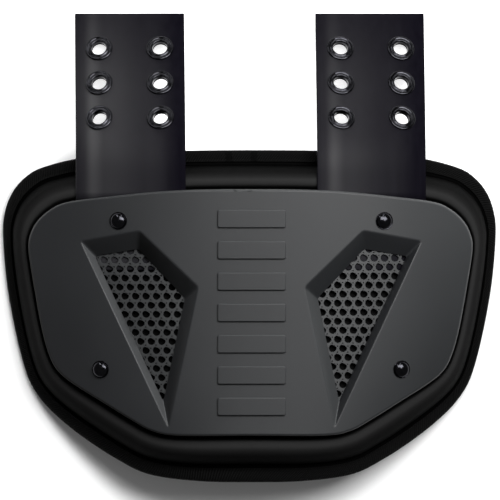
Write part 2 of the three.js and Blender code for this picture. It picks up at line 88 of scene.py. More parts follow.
# %% [markdown]
# ## The arch of the plate
# The plate curves round a back, so all its layers follow one arched surface. It is far
# easier to draw each layer flat and then lift every point by the height of the arch, which
# also keeps the outline seen from the front exact. The shading has to be lifted with it:
# a normal that was right on the flat piece is tilted by the slope of the arch.

# %% Measure the arch and lift a flat piece onto it
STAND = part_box("strap_left")[0].z - 0.6 * MM


def arch(x, y):
    below = max(0.0, WIDEST_Y - y) / PAD_HEIGHT
    reach = PAD_WIDTH / 2 * (1 - ARCH_TAPER * below**2)
    return STAND + ARCH_RISE * (1 - min(1.0, abs(x) / reach) ** ARCH_POWER)


def slopes(height, x, y, step=0.2 * MM):
    across = height(x + step, y) - height(x - step, y)
    along = height(x, y + step) - height(x, y - step)
    return across / (2 * step), along / (2 * step)


def lift(piece, height, thicken=lambda slope_x, slope_y: 1.0):
    """Moves each point up by the height there, and tilts the normals by its slope."""
    mesh = piece.data
    normals = [Vector(corner.vector) for corner in mesh.corner_normals]
    tilt = [slopes(height, vertex.co.x, vertex.co.y) for vertex in mesh.vertices]
    for vertex, (slope_x, slope_y) in zip(mesh.vertices, tilt):
        lifted = vertex.co.z * thicken(slope_x, slope_y)
        vertex.co.z = height(vertex.co.x, vertex.co.y) + lifted
    for loop, normal in zip(mesh.loops, normals):
        slope_x, slope_y = tilt[loop.vertex_index]
        spread = thicken(slope_x, slope_y)
        normal.x -= normal.z * slope_x / spread
        normal.y -= normal.z * slope_y / spread
        normal.z /= spread
        normal.normalize()
    mesh.normals_split_custom_set(normals)
    mesh.update()


print(f"the arch is {arch(0, MIDDLE.y) / MM:.1f} mm high in the middle")

# %% [markdown]
# ## Outlines
# The pad and the shell have the same kind of outline, a shield with soft corners. Both are
# drawn through rows of shares, the pad's beside the shell's, so a line from one to the other
# crosses the crest squarely. A margin of 0 is the pad's edge, 1 the shell's edge and 2 the
# middle of the shell.

# %% Draw the outlines of the pad and the shell
STATIONS = 216
OUTLINE_ROWS = [
    # pad across, pad down, shell across, shell down
    (0, 0, 0, 0), (0.36, 0.004, 0.364, 0.006), (0.654, 0.02, 0.655, 0.031),
    (0.834, 0.05, 0.83, 0.053), (0.91, 0.081, 0.906, 0.085), (0.963, 0.128, 0.961, 0.131),
    (0.992, 0.186, 0.991, 0.183), (1, 0.253, 1, 0.24), (0.984, 0.4, 0.982, 0.355),
    (0.949, 0.546, 0.943, 0.552), (0.911, 0.658, 0.91, 0.664), (0.875, 0.721, 0.872, 0.733),
    (0.808, 0.784, 0.804, 0.787), (0.694, 0.856, 0.677, 0.859), (0.546, 0.929, 0.539, 0.936),
    (0.41, 0.977, 0.448, 0.98), (0.21, 0.997, 0.33, 1), (0, 1, 0, 1),
]


def around(half):
    """The whole outline from its right half, counterclockwise from the top."""
    left = [Vector((-p.x, p.y, 0)) for p in half[1:-1]]
    return [half[0]] + left + [half[-1]] + half[-2:0:-1]


def on_curve(rows, share):
    first = int(share * len(rows))
    w = share * len(rows) - first
    a, b, c, d = (rows[(first + k) % len(rows)] for k in (-1, 0, 1, 2))
    return (b * 2 + (c - a) * w + (a * 2 - b * 5 + c * 4 - d) * w**2
            + (b * 3 - a - c * 3 + d) * w**3) / 2


def even_shares(rows, count):
    """Shares along the curve that cut it into parts of one length."""
    fine = 40 * len(rows)
    spots = [on_curve(rows, i / fine % 1) for i in range(fine + 1)]
    run = [0.0]
    for before, after in zip(spots, spots[1:]):
        run.append(run[-1] + (after - before).length)
    shares, i = [], 0
    for k in range(count):
        while run[i + 1] < run[-1] * k / count:
            i += 1
        part = (run[-1] * k / count - run[i]) / (run[i + 1] - run[i])
        shares.append((i + part) / fine)
    return shares, run[-1]


pad_rows = around([Vector((a * PAD_WIDTH / 2, PAD_TOP - d * PAD_HEIGHT, 0))
                   for a, d, _, _ in OUTLINE_ROWS])
shell_rows = around([Vector((a * SHELL_WIDTH / 2, SHELL_TOP - d * SHELL_HEIGHT, 0))
                     for _, _, a, d in OUTLINE_ROWS])
shares, pad_girth = even_shares(pad_rows, STATIONS)
pad_outline = [on_curve(pad_rows, share) for share in shares]
shell_outline = [on_curve(shell_rows, share) for share in shares]
print(f"{STATIONS} stations round {pad_girth / MM:.0f} mm of edge")

# %% [markdown]
# ## Loops
# Most pieces here start from one closed loop of vertices that is extruded again and again,
# each new loop being put where the section of the piece says. These helpers do that: a
# circle primitive gives the first loop, and the extrude operator gives the next ones.

# %% Helpers that start, extrude and close loops


def offset(outline, distance):
    """The outline moved inwards by a distance."""
    moved = []
    for i, spot in enumerate(outline):
        into = (spot - outline[i - 1]).normalized()
        out = (outline[(i + 1) % len(outline)] - spot).normalized()
        normal = Vector((-into.y - out.y, into.x + out.x, 0)).normalized()
        turn = max(0.5, normal.x * -into.y + normal.y * into.x)
        moved.append(spot + normal * (distance / turn))
    return moved


def at(outline, level):
    return [Vector((spot.x, spot.y, level)) for spot in outline]


def ring(margin, level):
    """A loop between the pad's edge (0), the shell's edge (1) and the middle (2)."""
    if margin <= 1:
        return at([p.lerp(s, margin) for p, s in zip(pad_outline, shell_outline)], level)
    return at([s.lerp(MIDDLE, margin - 1) for s in shell_outline], level)


def settle(vertices, points):
    for vertex, point in zip(vertices, points):
        vertex.co = point
    bmesh.update_edit_mesh(bpy.context.object.data)
    return [tuple(vertex.co) for vertex in vertices]


def start_loop(points):
    bpy.ops.mesh.select_all(action="DESELECT")
    bpy.ops.mesh.primitive_circle_add(vertices=len(points))
    mesh = bmesh.from_edit_mesh(bpy.context.object.data)
    return settle([vertex for vertex in mesh.verts if vertex.select], points)


def extrude_to(places, points):
    bpy.ops.mesh.extrude_region()
    mesh = bmesh.from_edit_mesh(bpy.context.object.data)
    order = {place: i for i, place in enumerate(places)}
    fresh = sorted((v for v in mesh.verts if v.select), key=lambda v: order[tuple(v.co)])
    return settle(fresh, points)


def extrude_rings(rings):
    """Returns where the vertices of the first and the last loop are."""
    first = places = start_loop(rings[0])
    for points in rings[1:]:
        places = extrude_to(places, points)
    return first, places


def select_vertices(wanted):
    bpy.ops.mesh.select_mode(type="VERT")
    bpy.ops.mesh.select_all(action="DESELECT")
    mesh = bmesh.from_edit_mesh(bpy.context.object.data)
    for vertex in mesh.verts:
        vertex.select = wanted(vertex.co)
    mesh.select_flush(True)
    bmesh.update_edit_mesh(bpy.context.object.data)


def fill_between(loops):
    """Makes the face inside the outer loop, less the loops that lie in it."""
    wanted = {place for loop in loops for place in loop}
    select_vertices(lambda co: tuple(co) in wanted)
    bpy.ops.mesh.fill(use_beauty=True)


def map_loops(piece, layer, loops, heights):
    """UV: along each loop in metres, and one height for each loop."""
    where = {}
    for points, height in zip(loops, heights):
        for i, point in enumerate(points):
            where.setdefault(tuple(round(c, 6) for c in point), (i, height))
    uv = piece.data.uv_layers.new(name=layer).data
    for face in piece.data.polygons:
        spots = [where[tuple(round(c, 6) for c in piece.data.vertices[v].co)]
                 for v in face.vertices]
        wraps = max(i for i, _ in spots) - min(i for i, _ in spots) > 1
        for loop, (i, height) in zip(face.loop_indices, spots):
            station = STATIONS if wraps and i == 0 else i
            uv[loop].uv = (station / STATIONS * pad_girth, height)


def new_piece(name):
    """An empty mesh object at the origin, in edit mode."""
    bpy.ops.object.select_all(action="DESELECT")
    bpy.ops.mesh.primitive_plane_add(size=MM)
    piece = bpy.context.object
    piece.name = piece.data.name = name
    bpy.ops.object.mode_set(mode="EDIT")
    bpy.ops.mesh.delete(type="VERT")
    return piece


def close_piece(angle=35):
    """Merges what meets, turns the faces outwards and smooths all but real edges."""
    bpy.ops.mesh.select_all(action="SELECT")
    bpy.ops.mesh.remove_doubles(threshold=1e-6)
    bpy.ops.mesh.normals_make_consistent(inside=False)
    bpy.ops.object.mode_set(mode="OBJECT")
    bpy.ops.object.shade_smooth_by_angle(angle=math.radians(angle))


def cut_grid(x_lines, y_lines):
    """Cuts a flat piece along lines, so that it can bend."""
    for x in x_lines:
        bpy.ops.mesh.select_all(action="SELECT")
        bpy.ops.mesh.bisect(plane_co=(x, 0, 0), plane_no=(1, 0, 0))
    for y in y_lines:
        bpy.ops.mesh.select_all(action="SELECT")
        bpy.ops.mesh.bisect(plane_co=(0, y, 0), plane_no=(0, 1, 0))


def lines(start, end, pitch):
    count = max(1, round((end - start) / pitch))
    return [start + (end - start) * (i + 0.5) / count for i in range(count)]


def report(piece):
    piece.data.calc_loop_triangles()
    size = [side / MM for side in piece.dimensions]
    print(f"{piece.name}: {len(piece.data.loop_triangles)} triangles,",
          "x".join(f"{side:.1f}" for side in size), "mm")


def mount(piece, node, material):
    piece.data.materials.clear()
    piece.data.materials.append(material)
    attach(piece, "root")
    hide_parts(node)
    report(piece)


# %% [markdown]
# ## Finishes
# A finish is a small tree of nodes. One function adds a node with its settings and what
# feeds it, and another turns a hex colour, as seen on a screen, into the linear values that
# the shader reads.

# %% Helpers that make a finish


def colour(code):
    channels = [int(code[i:i + 2], 16) / 255 for i in (1, 3, 5)]
    linear = [c / 12.92 if c <= 0.04045 else ((c + 0.055) / 1.055) ** 2.4 for c in channels]
    return (*linear, 1.0)


def add(tree, kind, inputs=None, **settings):
    node = tree.nodes.new(kind)
    for name, value in settings.items():
        setattr(node, name, value)
    for name, value in (inputs or {}).items():
        if isinstance(value, bpy.types.NodeSocket):
            tree.links.new(value, node.inputs[name])
        else:
            node.inputs[name].default_value = value
    return node


def new_finish(name):
    material = bpy.data.materials.new(name)
    material.use_nodes = True
    material.node_tree.nodes.clear()
    return material, material.node_tree


def finish_with(tree, shader):
    output = add(tree, "ShaderNodeOutputMaterial")
    tree.links.new(shader.outputs["BSDF"], output.inputs["Surface"])


def tones(tree, factor, stops):
    """A ramp through some (place, hex colour) stops."""
    ramp = add(tree, "ShaderNodeValToRGB", {"Fac": factor}).color_ramp
    while len(ramp.elements) < len(stops):
        ramp.elements.new(1.0)
    for element, (spot, code) in zip(ramp.elements, stops):
        element.position, element.color = spot, colour(code)
    return tree.nodes[-1].outputs["Color"]


def two_tones(tree, factor, dark, light, low=0.3, high=0.7):
    return tones(tree, factor, [(low, dark), (high, light)])


print("finish helpers are ready")

# %% [markdown]
# ### Moulded EVA foam
# The pad is EVA foam pressed hot between two moulds, which leaves a closed skin with a very
# fine pebble. To the eye it is black and soft. In the picture the groove beside the crest is
# black and the crest is greyer. The colour here paints that difference in: it follows the
# margin, which the UV map holds as a half, so 0 is the edge and 0.5 the shell's edge. The
# black of the groove is painted shade and the grey of the crest a painted highlight. The
# specular level is far below the usual 0.5, so that the white table doesn't show in the
# steep side of the crest. The pebble is about 0.5 mm and is drawn at 0.9 mm, because the
# real one is finer than a pixel of the picture.

# %% Make the foam finish
foam_finish, tree = new_finish("moulded_eva_foam")
place = add(tree, "ShaderNodeTexCoord").outputs["Object"]
cloud = add(tree, "ShaderNodeTexNoise", {"Vector": place, "Scale": 40.0, "Detail": 4.0})
pebble = add(tree, "ShaderNodeTexNoise", {"Vector": place, "Scale": 1100.0, "Detail": 2.0})
bump = add(tree, "ShaderNodeBump", {
    "Height": pebble.outputs["Fac"], "Strength": 0.25, "Distance": 0.2 * MM})
wear = add(tree, "ShaderNodeMapRange", {
    "Value": cloud.outputs["Fac"], "To Min": 0.6, "To Max": 0.7})
margin = add(tree, "ShaderNodeSeparateXYZ", {
    "Vector": add(tree, "ShaderNodeUVMap", uv_map="section").outputs["UV"]})
# Painted shade in the groove by the flange and a painted highlight on the crest, by margin.
skin = tones(tree, margin.outputs["Y"], [
    (0.17, "#010101"), (0.22, "#020202"), (0.28, "#080808"), (0.34, "#161616"),
    (0.38, "#212121"), (0.44, "#212121"), (0.465, "#161616"), (0.48, "#080808")])
finish_with(tree, add(tree, "ShaderNodeBsdfPrincipled", {
    "Base Color": skin, "Roughness": wear.outputs["Result"], "IOR": 1.45,
    "Specular IOR Level": 0.02, "Normal": bump.outputs["Normal"]}))

# %% [markdown]
# ### Woven polyester tape
# The edge is bound with a ribbed polyester tape, woven in a twill, so its ribs cross it at a
# slant. Ribs of a real tape are about 0.8 mm apart and are drawn 1.3 mm apart so that
# they show. They follow the tape, so they read the piece's own UV map, in metres. The yarns
# scatter the light, so the tape has hardly any shine, and a low specular level.

# %% Make the tape finish
tape_finish, tree = new_finish("woven_polyester_tape")
run = add(tree, "ShaderNodeUVMap", uv_map="tape").outputs["UV"]
turned = add(tree, "ShaderNodeMapping", {"Vector": run, "Rotation": (0, 0, math.radians(35))})
ribs = add(tree, "ShaderNodeTexWave", {
    "Vector": turned.outputs["Vector"], "Scale": 2 * math.pi / (20 * 1.3 * MM),
    "Distortion": 0.4, "Detail": 1.0}, bands_direction="X")
bump = add(tree, "ShaderNodeBump", {
    "Height": ribs.outputs["Fac"], "Strength": 0.9, "Distance": 0.35 * MM})
finish_with(tree, add(tree, "ShaderNodeBsdfPrincipled", {
    "Base Color": two_tones(tree, ribs.outputs["Fac"], "#000000", "#070707", 0.2, 0.9),
    "Roughness": 0.8, "IOR": 1.5, "Specular IOR Level": 0.06,
    "Normal": bump.outputs["Normal"]}))

# %% [markdown]
# ### Moulded ABS
# The shell is injection-moulded ABS from a mould with a fine spark grain. It scatters most
# of the light, so it looks slate grey and matte, with soft glints on its round edges.
# The grain is drawn at 0.7 mm, coarser than the real 0.2 mm, so that it still shows.
# The picture's studio leaves the window walls that face away from its light nearly black and
# the opposite ones light, more than four lamps do. So the colour and the shine also follow
# where the surface faces, measured against one direction. This is shading held in the
# finish and no property of the plastic.

# %% Make the shell finish
shell_finish, tree = new_finish("moulded_abs_spark_grain")
place = add(tree, "ShaderNodeTexCoord").outputs["Object"]
grain = add(tree, "ShaderNodeTexNoise", {
    "Vector": place, "Scale": 1400.0, "Detail": 2.0, "Roughness": 0.6})
cloud = add(tree, "ShaderNodeTexNoise", {"Vector": place, "Scale": 18.0, "Detail": 3.0})
bump = add(tree, "ShaderNodeBump", {
    "Height": grain.outputs["Fac"], "Strength": 0.12, "Distance": 0.1 * MM})
gloss = add(tree, "ShaderNodeMapRange", {
    "Value": cloud.outputs["Fac"], "To Min": 0.46, "To Max": 0.54})
TOWARD_LIGHT = Vector((0.6, 0.72, 0.35))
facing = add(tree, "ShaderNodeVectorMath", {
    0: add(tree, "ShaderNodeNewGeometry").outputs["Normal"], 1: TOWARD_LIGHT},
    operation="DOT_PRODUCT")
facing = add(tree, "ShaderNodeMapRange", {
    "Value": facing.outputs["Value"], "From Min": -1.0, "From Max": 1.0})
shaded = tones(tree, facing.outputs["Result"], [
    (0.28, "#040404"), (0.36, "#0c0d0e"), (0.45, "#141517"), (0.76, "#151719"),
    (0.84, "#282a2b"), (0.93, "#38393a")])
speckle = two_tones(tree, cloud.outputs["Fac"], "#e8e8e8", "#ffffff")
mixed = add(tree, "ShaderNodeMix", {"Factor": 1.0}, data_type="RGBA", blend_type="MULTIPLY")
tree.links.new(shaded, mixed.inputs["A"])
tree.links.new(speckle, mixed.inputs["B"])
sheen = add(tree, "ShaderNodeMapRange", {
    "Value": facing.outputs["Result"], "From Min": 0.28, "From Max": 0.42,
    "To Min": 0.05, "To Max": 0.3})
finish_with(tree, add(tree, "ShaderNodeBsdfPrincipled", {
    "Base Color": mixed.outputs["Result"], "Roughness": gloss.outputs["Result"], "IOR": 1.53,
    "Specular IOR Level": sheen.outputs["Result"], "Normal": bump.outputs["Normal"]}))

# %% [markdown]
# ### Moulded sheet
# The pierced sheets are thinner mouldings of the same plastic from a plain mould. Their skin
# is a little lighter and smoother than the shell's, so the rims of the holes show as thin
# light rings.

# %% Make the sheet finish
sheet_finish, tree = new_finish("moulded_abs_plain")
place = add(tree, "ShaderNodeTexCoord").outputs["Object"]
grain = add(tree, "ShaderNodeTexNoise", {"Vector": place, "Scale": 1400.0, "Detail": 2.0})
cloud = add(tree, "ShaderNodeTexNoise", {"Vector": place, "Scale": 60.0, "Detail": 3.0})
bump = add(tree, "ShaderNodeBump", {
    "Height": grain.outputs["Fac"], "Strength": 0.1, "Distance": 0.1 * MM})
finish_with(tree, add(tree, "ShaderNodeBsdfPrincipled", {
    "Base Color": two_tones(tree, cloud.outputs["Fac"], "#202122", "#262728"),
    "Roughness": 0.45, "IOR": 1.53, "Specular IOR Level": 0.33,
    "Normal": bump.outputs["Normal"]}))

# %% [markdown]
# ### Calendered TPU
# The straps are cut from thermoplastic polyurethane sheet rolled between polished
# cylinders. It is a violet black with a satin shine that shows the lights as long soft
# bands, and a few faint streaks from the rollers run along it.
# In the picture both straps have the same light band near their left edge, fall off to the
# right and darken toward the end. The specular level paints this in: a painted highlight
# band across each strap, painted shade fading along it toward the end, and a lower share
# on the right strap, painted shade where the large light would otherwise make it brighter.

# %% Make the strap finish
strap_finish, tree = new_finish("calendered_tpu_sheet")
place = add(tree, "ShaderNodeTexCoord").outputs["Object"]
drawn = add(tree, "ShaderNodeMapping", {"Vector": place, "Scale": (1.0, 0.06, 1.0)})
streak = add(tree, "ShaderNodeTexNoise", {
    "Vector": drawn.outputs["Vector"], "Scale": 260.0, "Detail": 3.0})
bump = add(tree, "ShaderNodeBump", {
    "Height": streak.outputs["Fac"], "Strength": 0.06, "Distance": 0.1 * MM})
satin = add(tree, "ShaderNodeMapRange", {
    "Value": streak.outputs["Fac"], "To Min": 0.6, "To Max": 0.66})
axes = add(tree, "ShaderNodeSeparateXYZ", {"Vector": place})
turns = add(tree, "ShaderNodeMath", {
    0: axes.outputs["X"], 1: STRAP_SPACING}, operation="DIVIDE")
across = add(tree, "ShaderNodeMath", {
    0: turns.outputs["Value"], 1: 0.5 + STRAP_WIDTH / 2 / STRAP_SPACING}, operation="ADD")
across = add(tree, "ShaderNodeMath", {0: across.outputs["Value"]}, operation="FRACT")
PAINTED_BAND_ACROSS = [
    # share of the straps' spacing from a strap's left edge, painted specular level
    (0.0, 0.16), (0.03, 0.2), (0.07, 0.58), (0.12, 0.32), (0.3, 0.14), (0.43, 0.0),
]
FADE_START, FADE_TO, RIGHT_STRAP_SHARE = 100 * MM, 0.35, 0.52
# The painted highlight band across each strap, held in the specular level.
painted_band = add(tree, "ShaderNodeValToRGB", {"Fac": across.outputs["Value"]})
while len(painted_band.color_ramp.elements) < len(PAINTED_BAND_ACROSS):
    painted_band.color_ramp.elements.new(0.5)
for element, (spot, level) in zip(painted_band.color_ramp.elements, PAINTED_BAND_ACROSS):
    element.position, element.color = spot, (level, level, level, 1)
painted_band.color_ramp.interpolation = "EASE"
# Painted shade: the shine fades toward the strap's end.
painted_fade = add(tree, "ShaderNodeMapRange", {
    "Value": axes.outputs["Y"], "From Min": FADE_START, "From Max": STRAP_END,
    "To Min": 1.0, "To Max": FADE_TO})
faded = add(tree, "ShaderNodeMath", {
    0: painted_band.outputs["Color"], 1: painted_fade.outputs["Result"]}, operation="MULTIPLY")
# Painted shade: the right strap gets a lower share of the shine.
side_share = add(tree, "ShaderNodeMapRange", {
    "Value": axes.outputs["X"], "From Min": 0.0, "From Max": 1 * MM,
    "To Min": 1.0, "To Max": RIGHT_STRAP_SHARE})
painted_shine = add(tree, "ShaderNodeMath", {
    0: faded.outputs["Value"], 1: side_share.outputs["Result"]}, operation="MULTIPLY")
finish_with(tree, add(tree, "ShaderNodeBsdfPrincipled", {
    "Base Color": two_tones(tree, streak.outputs["Fac"], "#09080d", "#0d0c11"),
    "Roughness": satin.outputs["Result"], "IOR": 1.5,
    "Specular IOR Level": painted_shine.outputs["Value"],
    "Normal": bump.outputs["Normal"]}))

# %% [markdown]
# ### Black nickel
# Eyelets and rivets are brass, plated with black nickel. The plating is smooth and dark,
# and mirrors the lights as small sharp glints.

# %% Make the metal finish
nickel_finish, tree = new_finish("black_nickel_plate")
place = add(tree, "ShaderNodeTexCoord").outputs["Object"]
handling = add(tree, "ShaderNodeTexNoise", {"Vector": place, "Scale": 700.0, "Detail": 3.0})
polish = add(tree, "ShaderNodeMapRange", {
    "Value": handling.outputs["Fac"], "To Min": 0.1, "To Max": 0.18})
finish_with(tree, add(tree, "ShaderNodeBsdfPrincipled", {
    "Base Color": two_tones(tree, handling.outputs["Fac"], "#202023", "#2b2b2e"),
    "Metallic": 1.0, "Roughness": polish.outputs["Result"]}))
print("finishes:", [material.name for material in bpy.data.materials if material.users == 0])

# %% [markdown]
# ## Foam pad
# The pad is one piece of foam, pressed thin at its edge, with a soft crest that stands round
# the shell. It could be an inflated cloth bag, but moulded foam keeps the section of its
# mould, so it is drawn as loops that follow that section: out along the back, round the
# flange, up over the crest and down to the seat of the shell.

# %% Model the foam pad
CREST_SECTION = [
    # margin, share of the way from the flange (0) up to the crest (1)
    (0.33, 0), (0.365, 0), (0.38, 0.03), (0.388, 0.17), (0.4, 0.31), (0.415, 0.41),
    (0.435, 0.505), (0.46, 0.6), (0.49, 0.689), (0.525, 0.771), (0.565, 0.844), (0.605, 0.9),
    (0.645, 0.941), (0.69, 0.974), (0.735, 0.994), (0.78, 1), (0.825, 0.995), (0.865, 0.978),
    (0.895, 0.945), (0.92, 0.895), (0.94, 0.835), (0.957, 0.76), (0.97, 0.686),
]
BACK_MARGINS = (1.96, 1.8, 1.6, 1.4, 1.2, 1.0, 0.8, 0.6, 0.48, 0.43)
FOLD = [(0.37, 0.5 * MM), (0.34, FLANGE_BACK), (0.2, FLANGE_BACK), (0.09, FLANGE_BACK),
        (0.08, 3 * MM), (0.09, FLANGE_FRONT), (0.2, FLANGE_FRONT)]
SEAT_MARGINS = (1.0, 1.1, 1.25, 1.4, 1.6, 1.8, 1.96)
section = [(margin, 0) for margin in BACK_MARGINS] + FOLD
section += [(margin, FLANGE_FRONT + rise * (CREST_LEVEL - FLANGE_FRONT))
            for margin, rise in CREST_SECTION]
section += [(margin, SEAT_LEVEL) for margin in SEAT_MARGINS]
foam_loops = [ring(margin, level) for margin, level in section]
foam_pad = new_piece("foam_pad_skin")
extrude_rings(foam_loops)
bpy.ops.mesh.edge_face_add()
select_vertices(lambda co: co.z < 1e-7 and (co - MIDDLE).length < 8 * MM)
bpy.ops.mesh.edge_face_add()
close_piece()
map_loops(foam_pad, "section", foam_loops, [margin / 2 for margin, _ in section])
lift(foam_pad, arch)
report(foam_pad)

# %% [markdown]
# ## Edge binding
# A tape folded round the flange covers the raw edge of the foam. Its section is a flat hook:
# along the back, round the fold, along the front to a small bead where it is sewn down, and
# back inside. The last loop is the first one again, and merging joins the two. A UV map in
# metres lets the ribs of the tape follow it.

# %% Model the edge binding
TAPE_TOP = 2 * TAPE_THICKNESS + 2 * GAP + (FLANGE_FRONT - FLANGE_BACK)
TAPE_SECTION = [
    # margin, level
    (0.3, 0.2 * MM), (0.285, 0), (0.06, 0), (0.03, 0.3 * MM), (0.01, 1.1 * MM),
    (0, 2.2 * MM), (0, 3.7 * MM), (0.01, 4.8 * MM), (0.03, 5.5 * MM),
    (0.07, TAPE_TOP), (0.15, TAPE_TOP), (0.22, 5.75 * MM), (0.262, 5.6 * MM),
    (0.275, TAPE_TOP), (0.292, TAPE_TOP), (0.3, 5.5 * MM), (0.3, 4.8 * MM),
    (0.07, 4.7 * MM), (0.06, 3 * MM), (0.07, 1.2 * MM), (0.3, TAPE_THICKNESS), (0.3, 0.2 * MM),
]
edge_binding = new_piece("edge_binding_tape")
tape_loops = [ring(margin, level) for margin, level in TAPE_SECTION]
across = [0.0]
for before, after in zip(tape_loops, tape_loops[1:]):
    across.append(across[-1] + (after[0] - before[0]).length)
extrude_rings(tape_loops)
close_piece(60)
map_loops(edge_binding, "tape", tape_loops, across)
lift(edge_binding, arch)
mount(edge_binding, "edge_binding", tape_finish)

# %% [markdown]
# ## Rivet places
# Four rivets go through the layers, square to the shell. Each place is a matrix whose Z axis
# is the shell's own direction there. The same places give the holes and the rivets.

# %% Find where the rivets stand
RIVET_PLACES = {"upper": (0.597, 0.128), "lower": (0.676, 0.731)}
RIVET_HOLE = 3.1 * MM
SIDES = {"left": -1, "right": 1}


def shell_spot(across, down, side=1):
    return Vector((side * across * SHELL_WIDTH / 2, SHELL_TOP - down * SHELL_HEIGHT, 0))


def stand_on(height, spot, level):
    """A place on a surface, with its Z axis square to it."""
    slope_x, slope_y = slopes(height, spot.x, spot.y)
    turn = Vector((0, 0, 1)).rotation_difference(Vector((-slope_x, -slope_y, 1)))
    foot = Vector((spot.x, spot.y, height(spot.x, spot.y) + level))
    return Matrix.Translation(foot) @ turn.to_matrix().to_4x4()


def depth_of(place, level):
    """How far along the rivet's axis a level is met."""
    depth = 0.0
    for _ in range(8):
        point = place @ Vector((0, 0, depth))
        depth -= point.z - arch(point.x, point.y) - level
    return depth


rivets = {
    f"rivet_{name}_{side}": stand_on(arch, shell_spot(*spot, sign), FACE_LEVEL)
    for name, spot in RIVET_PLACES.items() for side, sign in SIDES.items()
}
for name, place in rivets.items():
    print(name, "reaches the back", f"{-depth_of(place, 0) / MM:.1f} mm down")

# %% [markdown]
# ## Rivet holes in the foam
# The rivets' tails lie in shallow dimples in the back of the pad. A Boolean modifier takes
# both the dimple and the hole for the shank out of the foam, with cylinders that stand
# along each rivet.

# %% Cut the rivet holes and dimples
DIMPLE_RADIUS, DIMPLE_DEPTH, SHANK_HOLE, PAST_BACK = 6.1 * MM, 2 * MM, 2.6 * MM, 4 * MM
bpy.ops.object.select_all(action="DESELECT")
cutters = []
for place in rivets.values():
    back = depth_of(place, 0)
    for radius, high in ((DIMPLE_RADIUS, back + DIMPLE_DEPTH), (SHANK_HOLE, 0)):
        low = back - PAST_BACK
        bpy.ops.mesh.primitive_cylinder_add(
            vertices=32, radius=radius, depth=high - low, location=(0, 0, 0))
        bar = bpy.context.object
        bar.data.transform(place @ Matrix.Translation((0, 0, (low + high) / 2)))
        cutters.append(bar)
for bar in cutters:
    bpy.ops.object.select_all(action="DESELECT")
    foam_pad.select_set(True)
    bpy.context.view_layer.objects.active = foam_pad
    cut = foam_pad.modifiers.new("hole", "BOOLEAN")
    cut.operation, cut.solver, cut.object = "DIFFERENCE", "EXACT", bar
    bpy.ops.object.modifier_apply(modifier=cut.name)
    bpy.data.objects.remove(bar)
bpy.ops.object.shade_smooth_by_angle(angle=math.radians(35))
mount(foam_pad, "foam_pad", foam_finish)

# %% [markdown]
# ## Shell
# The shell is one moulding: a face, a skirt round it, two sunk windows with sloping walls,
# and plain raised bars down the middle. It is drawn flat. Each window, bar and hole starts as
# a loop in the face, and the Fill operator then makes the face between all the loops at
# once. Round edges are loops on a quarter circle, and one extra loop just inside each of
# them keeps the shading of the flat face flat.

# %% Draw the outlines of the windows and bars
SHELL_SKIN = 2.6 * MM
UNDER_LEVEL = FACE_LEVEL - SHELL_SKIN
EDGE_ROUND, RIM_ROUND, SUPPORT = 1.4 * MM, 0.9 * MM, 0.12 * MM
SKIRT_CHAMFER = 0.5 * MM
WINDOW_CORNERS = [
    # at the face: across, down; at the pierced sheet: across, down
    ((0.767, 0.21), (0.702, 0.271)), ((0.503, 0.168), (0.508, 0.242)),
    ((0.24, 0.396), (0.298, 0.442)), ((0.373, 0.968), (0.395, 0.862)),
]
CORNER_ROUND, WINDOW_WALL, WINDOW_LIP = 1.8 * MM, 2.2 * MM, 0.8 * MM
BAR_COUNT, BAR_PITCH, BAR_DROP = 7, 19.3 * MM, 76.2 * MM
BAR_WIDTH, BAR_HEIGHT, BAR_RISE, BAR_ROUND = 42 * MM, 11 * MM, 1.6 * MM, 0.45 * MM


def bend(start, corner, end, w):
    return start * (1 - w) ** 2 + corner * (2 * w * (1 - w)) + end * w**2


def round_corners(corners, radius, steps=4, side_steps=6):
    """Corners given counterclockwise, joined by straight sides and round corners."""
    points = []
    for i, corner in enumerate(corners):
        before, after = corners[i - 1], corners[(i + 1) % len(corners)]
        start = corner + (before - corner).normalized() * radius
        end = corner + (after - corner).normalized() * radius
        points += [bend(start, corner, end, k / steps) for k in range(steps + 1)]
        reach = after + (corner - after).normalized() * radius
        points += [end.lerp(reach, k / side_steps) for k in range(1, side_steps)]
    return points


def window_outline(side, share):
    """From the pierced sheet (0) to the shell's face (1)."""
    corners = [shell_spot(*floor).lerp(shell_spot(*rim), share)
               for rim, floor in WINDOW_CORNERS]
    outline = round_corners(corners, CORNER_ROUND)
    if side < 0:
        return [Vector((-spot.x, spot.y, 0)) for spot in reversed(outline)]
    return outline


def bar_outline(number):
    y = SHELL_TOP - BAR_DROP - (number - (BAR_COUNT - 1) / 2) * BAR_PITCH
    x, half = BAR_WIDTH / 2, BAR_HEIGHT / 2
    corners = [Vector(spot) for spot in
               ((-x, y - half, 0), (x, y - half, 0), (x, y + half, 0), (-x, y + half, 0))]
    return round_corners(corners, 1.2 * MM)


def round_loop(radius, centre=Vector(), count=32):
    turns = [2 * math.pi * i / count for i in range(count)]
    return [centre + Vector((radius * math.cos(turn), radius * math.sin(turn), 0))
            for turn in turns]


def quarter(steps):
    """Steps of a quarter circle: how far out, and how far down, from 0 to 1."""
    turns = [math.radians(90) * i / steps for i in range(steps + 1)]
    return [(math.sin(turn), 1 - math.cos(turn)) for turn in turns]


print(len(window_outline(1, 1)), "points round a window")

